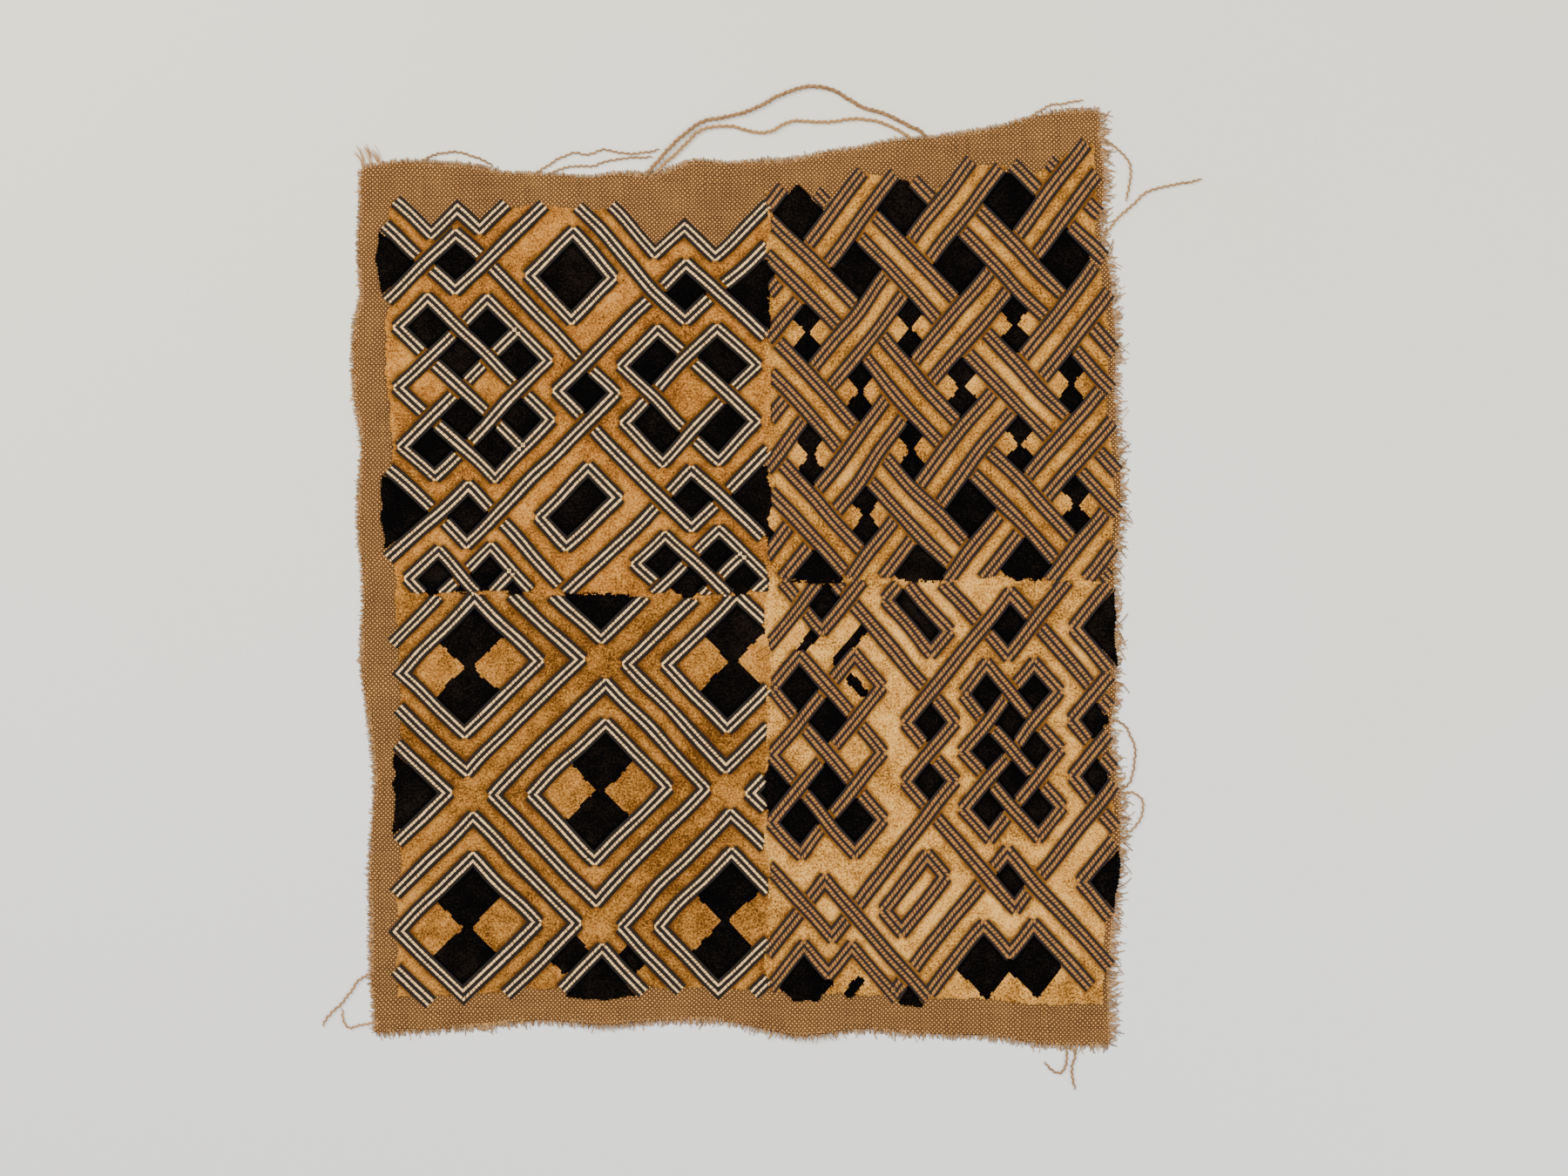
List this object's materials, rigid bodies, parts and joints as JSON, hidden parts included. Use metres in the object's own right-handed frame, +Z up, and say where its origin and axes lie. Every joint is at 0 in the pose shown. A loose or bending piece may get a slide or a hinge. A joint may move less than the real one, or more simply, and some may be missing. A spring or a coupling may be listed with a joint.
{
  "type": "kuba raffia cloth",
  "caption": "Flat rectangular cut-pile embroidered raffia panel with a plain woven border, frayed unhemmed edges and loose yarns",
  "frame": {"origin": "on the underside, at the middle of the cloth", "axes": "+Z up out of the embroidered face, +Y towards the cloth's upper edge, +X towards its right edge"},
  "size_m": [0.6316, 0.7204, 0.0042],
  "materials": {
    "raffia_ground": "plain-woven undyed raffia, matt and coarse",
    "raffia_ends": "loose undyed raffia yarn ends, dry and fibrous",
    "tan_pile": "short cut raffia pile, velvety, golden tan",
    "black_pile": "short cut raffia pile, dyed black",
    "stitched_lines": "rows of stem stitch, cream and near-black raffia in turn"
  },
  "bodies": {
    "root": {"ground_cloth": "raffia_ground", "fray_top": "raffia_ends", "fray_right": "raffia_ends", "fray_bottom": "raffia_ends", "fray_left": "raffia_ends"}
  },
  "joints": []
}
